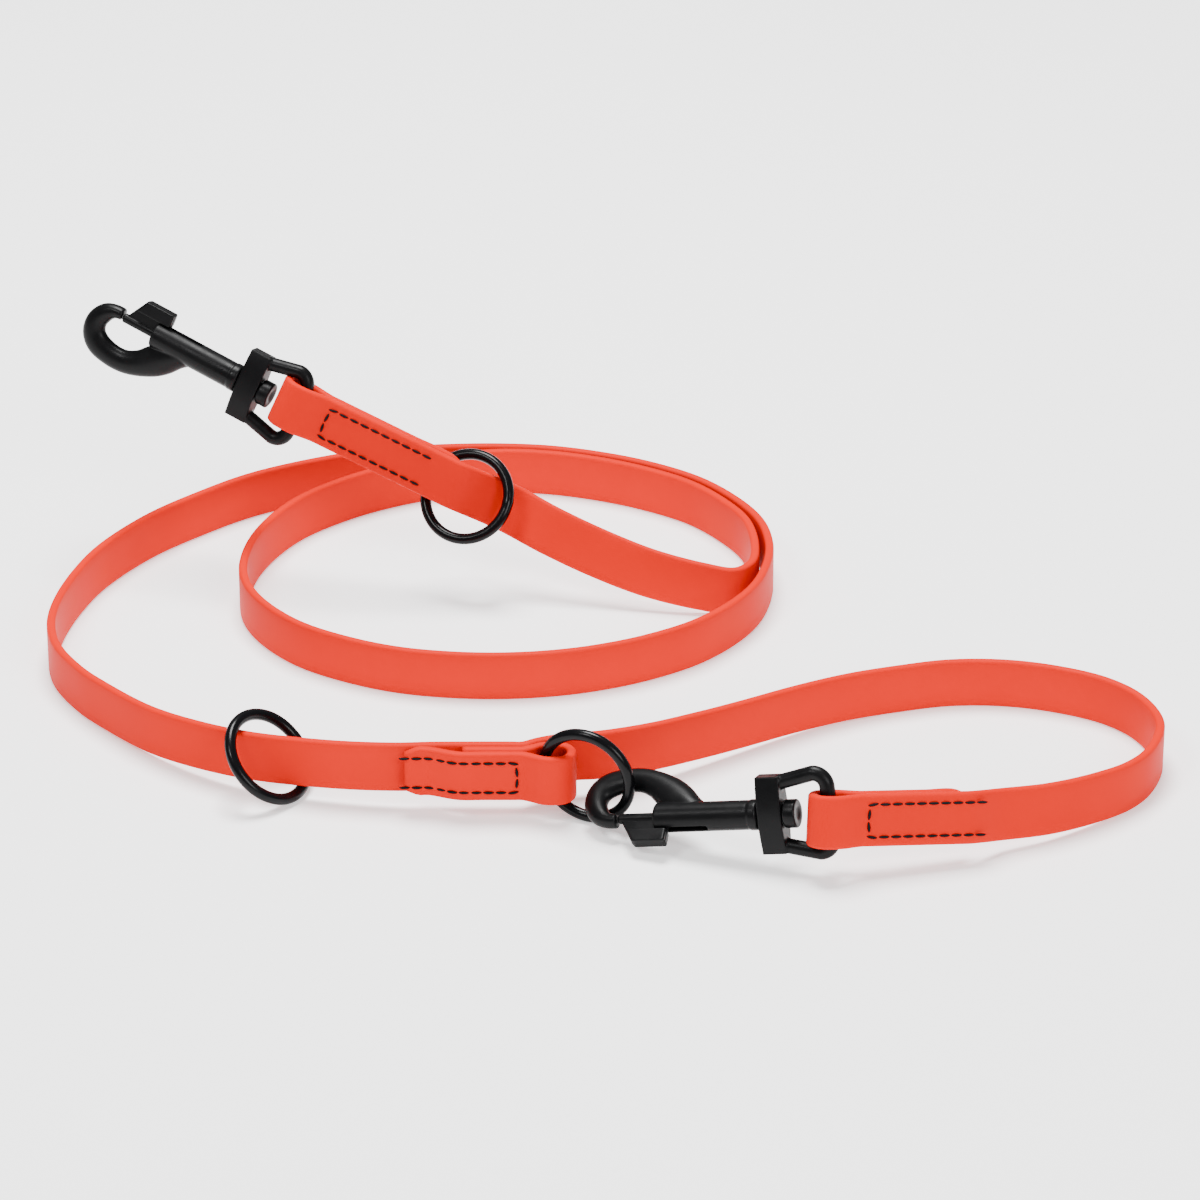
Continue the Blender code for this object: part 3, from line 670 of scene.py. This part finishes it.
def build_ring(name, body, material):
    """A welded wire ring with the slight swelling of its butt weld."""
    at = ring_frame(name)
    work = bmesh.new()
    radius = (RING_OUTER - RING_WIRE) / 2
    rows = []
    for i in range(RING_STEPS):
        turn = math.tau * i / RING_STEPS
        off_weld = min(turn, math.tau - turn) * radius
        swell = WELD_SWELL * math.exp(-(off_weld / WELD_REACH) ** 2)
        neck = WELD_NECK * math.exp(-((off_weld - WELD_NECK_AT) / WELD_NECK_REACH) ** 2)
        thick = RING_WIRE / 2 * (1 + swell - neck)
        row = []
        for j in range(RING_SIDES):
            angle = math.tau * j / RING_SIDES
            out = radius + thick * math.cos(angle)
            corner = Vector((out * math.cos(turn), out * math.sin(turn), thick * math.sin(angle)))
            row.append(work.verts.new(at @ corner))
        rows.append(row)
    for i in range(RING_STEPS):
        for j in range(RING_SIDES):
            work.faces.new((rows[i - 1][j - 1], rows[i][j - 1], rows[i][j], rows[i - 1][j]))
    ring = new_mesh(name.replace("ring", "welded_ring"), work, material)
    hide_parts(name)
    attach(ring, body)


# ---------------------------------------------------------------- snap hooks

def turned(name, profile):
    """A solid turned about X from (x, radius) points."""
    mesh = bpy.data.meshes.new(name)
    edges = [(i, i + 1) for i in range(len(profile) - 1)]
    mesh.from_pydata([(x, r, 0) for x, r in profile], edges, [])
    made = scratch(name, mesh)
    turn = made.modifiers.new("turn", "SCREW")
    turn.axis = "X"
    turn.steps = turn.render_steps = TURN_STEPS
    turn.use_merge_vertices = True
    turn.merge_threshold = 0.01 * MM
    return evaluated(made)


def wire(name, points, diameter, resolution):
    """A round wire through the points, as a closed mesh; resolution is its bevel's."""
    curve = bpy.data.curves.new(name, "CURVE")
    curve.dimensions = "3D"
    curve.bevel_depth = diameter / 2
    curve.bevel_resolution = resolution
    curve.use_fill_caps = True
    spline = curve.splines.new("POLY")
    spline.points.add(len(points) - 1)
    for spot, point in zip(spline.points, points):
        spot.co = (*point, 1)
    return evaluated(scratch(name, curve))


def slab(name, outline, half_depth, rounding):
    """A flat outline in XY, half_depth to each side of the plane, with its edges rounded."""
    curve = bpy.data.curves.new(name, "CURVE")
    curve.dimensions = "2D"
    curve.fill_mode = "BOTH"
    curve.extrude = half_depth
    spline = curve.splines.new("POLY")
    spline.points.add(len(outline) - 1)
    for spot, (x, y) in zip(spline.points, outline):
        spot.co = (x, y, 0, 1)
    spline.use_cyclic_u = True
    flat = scratch(name, evaluated(scratch(name, curve)))
    edge = flat.modifiers.new("edges", "BEVEL")
    edge.width = rounding
    edge.segments = 3
    edge.angle_limit = math.radians(25)
    return evaluated(flat)


def combined(name, base, changes):
    """The base mesh with each of the changes, an operation and a mesh, applied to it in turn."""
    made = scratch(name, base)
    tools = []
    for number, (operation, mesh) in enumerate(changes):
        tool = scratch(f"{name}_tool_{number}", mesh)
        tools.append(tool)
        cut = made.modifiers.new(operation.lower(), "BOOLEAN")
        cut.operation = operation
        cut.solver = "EXACT"
        cut.object = tool
    mesh = evaluated(made, merged=False)
    for tool in tools:
        bpy.data.objects.remove(tool)
    return mesh


def cast(mesh, grain, rounds):
    """The mesh as a casting: even fine faces, its corners and joins softened."""
    made = scratch("casting", mesh)
    even = made.modifiers.new("even", "REMESH")
    even.mode = "VOXEL"
    even.voxel_size = grain
    soft = made.modifiers.new("soft", "SMOOTH")
    soft.factor = 0.5
    soft.iterations = rounds
    return evaluated(made)


def block(name, low, high):
    """A box between two corners."""
    bpy.ops.mesh.primitive_cube_add(size=1)
    made = bpy.context.active_object
    made.name = name
    for corner in made.data.vertices:
        corner.co = [a + (b - a) * (c + 0.5) for a, b, c in zip(low, high, corner.co)]
    return evaluated(made)


def eye_mesh():
    """The swivel eye: a round bar with its two arms and the plate that the stud turns in."""
    far = EYE_BAR_WIDTH / 2 - EYE_BOW / 2
    near = EYE_PLATE_WIDTH / 2 - EYE_BOW / 2
    corner = [(EYE_CORNER * (1 - math.cos(a)), far - EYE_CORNER * (1 - math.sin(a)))
              for a in (math.pi / 2 * i / 12 for i in range(12, -1, -1))]
    side = [(EYE_PLATE_FROM + 2 * MM, near)] + corner
    path = [(x, y, 0) for x, y in side] + [(x, -y, 0) for x, y in side[::-1]]
    half = EYE_PLATE_WIDTH / 2
    swell = [(half * t, EYE_PLATE_END / 2 + (EYE_BOSS - EYE_PLATE_END) / 2 * (1 - t * t))
             for t in (i / 12 for i in range(-12, 13))]
    plate = slab("plate", swell + [(y, -z) for y, z in swell[::-1]],
                 (EYE_PLATE_TO - EYE_PLATE_FROM) / 2, 0.8 * MM)
    middle = (EYE_PLATE_TO + EYE_PLATE_FROM) / 2
    plate.transform(Matrix(((0, 0, 1, middle), (1, 0, 0, 0), (0, 1, 0, 0), (0, 0, 0, 1))))
    hole_radius = STUD_NECK / 2 + CLEARANCE
    hole_from, hole_to = EYE_PLATE_FROM - 2 * MM, EYE_PLATE_TO + 1 * MM
    hole = turned("hole", [(hole_from, 0), (hole_from, hole_radius), (hole_to, hole_radius),
                           (hole_to, 0)])
    solid = combined("eye", plate, [("UNION", wire("bow", path, EYE_BOW, 8)), ("DIFFERENCE", hole)])
    return cast(solid, grain=0.3 * MM, rounds=8)


def stud_mesh():
    """The swivel stud: a mushroom head inside the eye and a neck fixed in the hook."""
    head_to = EYE_PLATE_FROM - 0.4 * MM
    head_from = head_to - STUD_HEAD_LENGTH
    end = EYE_PLATE_TO + STUD_GRIP
    rounding = [(STUD_RIM * (1 - math.cos(a)), STUD_RIM * (1 - math.sin(a)))
                for a in (math.pi / 2 * i / 5 for i in range(6))]
    front = [(head_from + y, STUD_HEAD / 2 - x) for x, y in rounding[::-1]]
    back = [(head_to - y, STUD_HEAD / 2 - x) for x, y in rounding]
    hollow = [(head_from + 0.7 * MM, 0), (head_from + 0.6 * MM, STUD_HEAD * 0.12),
              (head_from + 0.35 * MM, STUD_HEAD * 0.2), (head_from, STUD_HEAD * 0.27)]
    neck = [(head_to, STUD_NECK / 2), (end, STUD_NECK / 2), (end, 0)]
    return turned("stud", hollow + front + back + neck)


def bowl_mesh():
    """The hook's round bowl, from its cut nose to inside the barrel: a loft of oval sections.

    Each section has its place along and off the hook's axis, its half height in the hook's plane
    and its half depth across it, in millimetres.
    """
    middle = [(83.6, 1.0, 2.55, 3.2), (87.3, 0.6, 2.9, 3.3), (90.9, -1.6, 3.9, 3.5),
              (93.6, -6.5, 4.5, 3.6), (93.0, -11.6, 5.0, 3.6), (89.6, -15.2, 5.3, 3.6),
              (82.6, -17.2, 5.0, 3.6), (75.9, -17.0, 5.0, 3.7), (69.8, -14.6, 5.6, 3.9),
              (64.7, -11, 6.6, 4.2), (60.2, -7.4, 6.6, 4.5), (55, -3.6, 5.3, 4.6),
              (50, -1.2, 4.0, 4.0)]
    curve = smooth_curve([np.array([x, y, 0, half, depth]) * MM for x, y, half, depth in middle],
                         BOWL_SAMPLES)
    work = bmesh.new()
    rings = []
    for before, here, after in zip([curve[0]] + curve, curve, curve[1:] + [curve[-1]]):
        way = Vector((1, 0, 0)) if here is curve[0] else unit((after - before)[:3])
        side = Vector((-way.y, way.x, 0))
        rings.append([work.verts.new(Vector(here[:3]) + side * here[3] * math.cos(a)
                                     + UP * here[4] * math.sin(a))
                      for a in (math.tau * i / BOWL_SIDES for i in range(BOWL_SIDES))])
    for ring, following in zip(rings, rings[1:]):
        for i in range(BOWL_SIDES):
            work.faces.new((ring[i - 1], ring[i], following[i], following[i - 1]))
    work.faces.new(rings[0])
    work.faces.new(rings[-1])
    bmesh.ops.recalc_face_normals(work, faces=work.faces)
    mesh = bpy.data.meshes.new("bowl")
    work.to_mesh(mesh)
    work.free()
    return cast(mesh, grain=0.5 * MM, rounds=2)


def hook_mesh():
    """The hook's body: collar, barrel and bowl, bored for the bolt and slotted for its fin."""
    start = EYE_PLATE_TO + CLEARANCE
    collar_to = start + COLLAR_LENGTH
    barrel = turned("barrel", [
        (start, 0), (start, GROOVE / 2), (start + 0.3 * MM, COLLAR / 2 - 0.3 * MM),
        (start + 0.7 * MM, COLLAR / 2), (collar_to - 0.2 * MM, COLLAR / 2),
        (collar_to + 0.3 * MM, BARREL / 2 - 0.15 * MM), (collar_to + 0.9 * MM, BARREL / 2),
        (BARREL_MOUTH - BARREL_EDGE, BARREL / 2), (BARREL_MOUTH, BARREL / 2 - BARREL_EDGE),
        (BARREL_MOUTH, 0)])
    beyond = BARREL_MOUTH + 6 * MM
    bore = turned("bore", [(BORE_END, 0), (BORE_END, BORE / 2), (beyond, BORE / 2), (beyond, 0)])
    socket_end = EYE_PLATE_TO + STUD_GRIP + CLEARANCE
    socket_radius = STUD_NECK / 2 + CLEARANCE
    socket = turned("socket", [(0, 0), (0, socket_radius), (socket_end, socket_radius),
                               (socket_end, 0)])
    half = SLOT_WIDTH / 2
    slot = block("slot", (BARREL_MOUTH - SLOT_LENGTH, 0.4 * MM, -half), (beyond, BARREL, half))
    solid = combined("hook_body", barrel, [("UNION", bowl_mesh()), ("DIFFERENCE", bore),
                                           ("DIFFERENCE", socket), ("DIFFERENCE", slot)])
    return cast(solid, grain=0.28 * MM, rounds=14)


def bolt_mesh():
    """The spring bolt: a rod that closes the hook, its piston in the bore and the thumb fin."""
    fin_from = BARREL_MOUTH - SLOT_LENGTH + BOLT_TRAVEL + BOLT_STOP
    piston_to = PISTON_FROM + PISTON_LENGTH
    piston = BORE / 2 - CLEARANCE
    rod = turned("rod", [(PISTON_FROM, 0), (PISTON_FROM, piston), (piston_to, piston),
                         (piston_to + 0.6 * MM, ROD / 2), (ROD_TIP - 0.5 * MM, ROD / 2),
                         (ROD_TIP, ROD / 2 - 0.5 * MM), (ROD_TIP, 0)])
    lead = ROD_TIP - FIN_SET_BACK
    fin_to = lead - FIN_SLANT
    above = BARREL / 2 + CLEARANCE
    pad_lead = lead - FIN_SLANT * above / FIN_HEIGHT
    fin_foot = 0.5 * MM
    fin = slab("fin", [(fin_from, fin_foot), (lead, fin_foot), (fin_to, FIN_HEIGHT),
                       (fin_from, FIN_HEIGHT)],
               SLOT_WIDTH / 2 - CLEARANCE, 0.25 * MM)
    pad_from, pad_to, pad_top = fin_from + 0.2 * MM, fin_to - 0.2 * MM, FIN_HEIGHT + 0.1 * MM
    pad = slab("pad", [(pad_from, above), (pad_lead, above), (pad_to, pad_top),
                       (pad_from, pad_top)],
               FIN_PAD_DEPTH / 2, 0.7 * MM)
    solid = combined("bolt", rod, [("UNION", fin), ("UNION", pad)])
    return cast(solid, grain=0.18 * MM, rounds=3)


def spring_mesh():
    """The bolt's spring, a helix between the bore's end and the piston."""
    low = BORE_END + CLEARANCE + SPRING_WIRE / 2
    high = PISTON_FROM - CLEARANCE - SPRING_WIRE / 2
    radius = BORE / 2 - CLEARANCE - 0.3 * MM - SPRING_WIRE / 2
    count = SPRING_TURNS * SPRING_STEPS
    points = [(low + (high - low) * i / count, radius * math.cos(math.tau * i / SPRING_STEPS),
               radius * math.sin(math.tau * i / SPRING_STEPS)) for i in range(count + 1)]
    return wire("spring", points, SPRING_WIRE, 3)


def joint(name):
    return next(j for j in frame["joints"] if j["name"] == name)


def hook_frames(prefix):
    """The frames of a hook's eye and body: X along both, Y along the eye's bar or bolt's fin."""
    bar = Vector(joint(f"{prefix}_eye_hinge")["pos_m"])
    bar_way = Vector(joint(f"{prefix}_eye_hinge")["axis"])
    axis = -Vector(joint(f"{prefix}_bolt_slide")["axis"]).normalized()
    reach = node_points(f"{prefix}_hook_bolt") - np.array(bar)
    off_axis = reach - np.outer(reach @ np.array(axis), np.array(axis))
    fin_top = np.linalg.norm(off_axis, axis=1) > FIN_HEIGHT * 0.97
    fin = Vector(off_axis[fin_top].mean(0))
    return lying(bar, axis, bar_way), lying(bar, axis, fin)


def place_copy(name, mesh, at, material, node, body):
    """A copy of the mesh at a frame, as the piece that stands for a node."""
    copy = mesh.copy()
    copy.transform(at)
    made = new_object(name, copy, material)
    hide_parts(node)
    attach(made, body)


def build_hooks(black, steel):
    """Both snap hooks. Stud and spring move with the hook's casting."""
    meshes = {"eye": eye_mesh(), "stud": stud_mesh(), "body": hook_mesh(), "bolt": bolt_mesh(),
              "spring": spring_mesh()}
    rides_on = {"eye": "eye", "stud": "hook", "body": "hook", "bolt": "bolt", "spring": "hook"}
    for prefix in ("free", "handle"):
        eye_at, hook_at = hook_frames(prefix)
        for part, mesh in meshes.items():
            place_copy(f"{prefix}_snap_{part}", mesh, eye_at if part == "eye" else hook_at,
                       steel if part == "spring" else black, f"{prefix}_hook_{part}",
                       f"{prefix}_{rides_on[part]}")


# ---------------------------------------------------------------- floor, light and camera

def build_stage():
    """A pale paper floor."""
    made, tree, shader = new_material("paper_floor")
    patches = noise(tree, object_coordinates(tree), 3.0)
    tint = colour_mix(tree, patches, (0.90, 0.90, 0.90), (0.93, 0.93, 0.93))
    tree.links.new(tint, shader.inputs["Base Color"])
    shader.inputs["Roughness"].default_value = 0.9
    shader.inputs["Specular IOR Level"].default_value = 0.1
    shader.inputs["Emission Color"].default_value = (1, 1, 1, 1)
    shader.inputs["Emission Strength"].default_value = 0.6
    bpy.ops.mesh.primitive_plane_add(size=12)
    floor = bpy.context.active_object
    floor.name = "floor"
    floor.data.materials.append(made)


def soft_light(name, place_at, size, power):
    """A round softbox that shines on the leash's middle."""
    light = bpy.data.lights.new(name, "AREA")
    light.shape = "DISK"
    light.size = size
    light.energy = power
    made = scratch(name, light)
    made.location = place_at
    made.rotation_euler = (-Vector(place_at)).to_track_quat("-Z", "Y").to_euler()


def build_light():
    """An even white room with a large softbox overhead and two small ones in front."""
    world = bpy.data.worlds.new("studio")
    bpy.context.scene.world = world
    world.use_nodes = True
    world.node_tree.nodes["Background"].inputs["Color"].default_value = (1, 1, 1, 1)
    world.node_tree.nodes["Background"].inputs["Strength"].default_value = 0.3
    soft_light("overhead", (-0.1, 0.5, 2.0), size=1.0, power=112)
    soft_light("front", (0.9, -1.4, 1.0), size=0.9, power=24)
    soft_light("side", (-0.9, -0.8, 1.5), size=0.5, power=16)


def build_camera():
    """A long lens that looks down on the leash from the front."""
    elevation, distance = math.radians(26.5), 2.131
    camera = bpy.data.cameras.new("camera")
    camera.lens = 156
    camera.sensor_width = 36
    made = scratch("camera", camera)
    made.location = -MIDDLE + distance * Vector((0, -math.cos(elevation), math.sin(elevation)))
    made.rotation_euler = (math.pi / 2 - elevation, 0, 0)
    bpy.context.scene.camera = made


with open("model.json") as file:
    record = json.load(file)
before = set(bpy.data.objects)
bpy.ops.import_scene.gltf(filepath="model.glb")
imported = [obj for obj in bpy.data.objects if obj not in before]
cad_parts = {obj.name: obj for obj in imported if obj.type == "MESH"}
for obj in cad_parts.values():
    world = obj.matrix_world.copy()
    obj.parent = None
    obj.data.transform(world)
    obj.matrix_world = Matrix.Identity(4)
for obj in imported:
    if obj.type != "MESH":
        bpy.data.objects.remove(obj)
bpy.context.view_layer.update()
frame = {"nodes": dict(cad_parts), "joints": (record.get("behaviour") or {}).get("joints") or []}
CAST_GRAIN = cast_grain_group()
ORANGE = coated_webbing()
BLACK = coated_metal("satin_black", (0.003, 0.003, 0.0033), 0.28, 0.42, 0.02 * MM, 0.0)
RING_BLACK = coated_metal("gloss_black", (0.0025, 0.0025, 0.003), 0.16, 0.26, 0.008 * MM, 0.04)
STEEL = bare_steel("spring_wire", (0.55, 0.55, 0.57), 0.22, 0.42)
THREAD_LOOK = twisted_thread()

build_camera()
build_strap(ORANGE)
build_tab(ORANGE)
build_seams(THREAD_LOOK)
for ring_name in ("coil_ring", "front_ring", "tab_ring"):
    build_ring(ring_name, ring_name, RING_BLACK)
build_hooks(BLACK, STEEL)
build_stage()
build_light()
